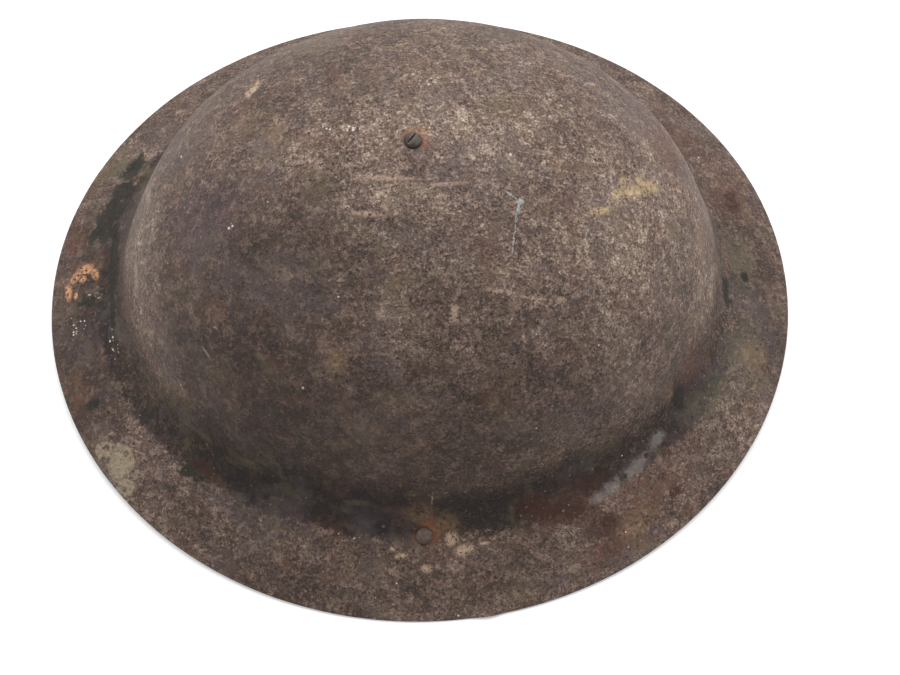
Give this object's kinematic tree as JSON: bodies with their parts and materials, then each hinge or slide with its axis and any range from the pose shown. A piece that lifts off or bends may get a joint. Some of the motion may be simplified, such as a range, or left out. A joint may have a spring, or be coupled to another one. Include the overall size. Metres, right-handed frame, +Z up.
{
  "type": "wide-brimmed steel helmet",
  "caption": "Old soup-bowl steel helmet with a raw-edged brim, crown screw, buffered liner on a headband, wire loops under the brim and a buckled leather chin strap.",
  "frame": {"origin": "on the surface that the helmet stands on, under the middle of its brim", "axes": "+X to the front end of the long axis, +Y to the wearer's left, +Z up through the crown"},
  "size_m": [0.3174, 0.2896, 0.1154],
  "materials": {
    "rusted_paint": "rough, pitted and rusted paint",
    "fastener_steel": "worn, rusted",
    "liner_steel": "dark, lightly rusted",
    "rubber": "matt, aged",
    "webbing": "woven cotton, worn",
    "felt": "felted wool",
    "oilcloth": "waxed cloth, cracked",
    "leather": "dry brown leather",
    "brass": "tarnished"
  },
  "bodies": {
    "helmet": {"shell": "rusted_paint", "right_lug_rivet": "fastener_steel", "left_lug_rivet": "fastener_steel", "crown_screw": "fastener_steel", "crown_plate": "liner_steel", "crown_nut": "liner_steel", "headband": "liner_steel", "strap_rivets": "liner_steel", "buffer_rivets": "liner_steel", "right_lug": "liner_steel", "left_lug": "liner_steel", "crown_washer": "rubber", "buffers": "rubber", "cross_strap_long": "webbing", "cross_strap_short": "webbing", "crown_pad": "felt", "sweatband": "oilcloth", "lining_tongues": "oilcloth"},
    "right_loop": {"right_loop": "liner_steel"},
    "left_loop": {"left_loop": "liner_steel"},
    "right_strap": {"long_strap": "leather", "long_strap_stud": "brass"},
    "left_strap": {"short_strap": "leather", "short_strap_studs": "brass"},
    "buckle": {"buckle_frame": "brass"},
    "prong": {"buckle_prong": "brass"}
  },
  "joints": [
    {"name": "right_loop_swing", "type": "hinge", "parent": "helmet", "child": "right_loop", "pos_m": [-0.0046, -0.10416, 0.01926], "axis": [1, 0, 0], "range_deg": [-60, 20]},
    {"name": "left_loop_swing", "type": "hinge", "parent": "helmet", "child": "left_loop", "pos_m": [-0.0046, 0.10416, 0.01926], "axis": [-1, 0, 0], "range_deg": [-60, 20]},
    {"name": "right_strap_swing", "type": "hinge", "parent": "right_loop", "child": "right_strap", "pos_m": [-0.0046, -0.0934, 0.0036], "axis": [1, 0, 0], "range_deg": [-75, 20]},
    {"name": "left_strap_swing", "type": "hinge", "parent": "left_loop", "child": "left_strap", "pos_m": [-0.0046, 0.0934, 0.0036], "axis": [-1, 0, 0], "range_deg": [-75, 20]},
    {"name": "buckle_swing", "type": "hinge", "parent": "left_strap", "child": "buckle", "pos_m": [-0.0046, 0.0434, 0.0036], "axis": [-1, 0, 0], "range_deg": [-60, 40]},
    {"name": "prong_swing", "type": "hinge", "parent": "buckle", "child": "prong", "pos_m": [-0.0046, 0.0434, 0.0036], "axis": [-1, 0, 0], "range_deg": [0, 85]}
  ]
}
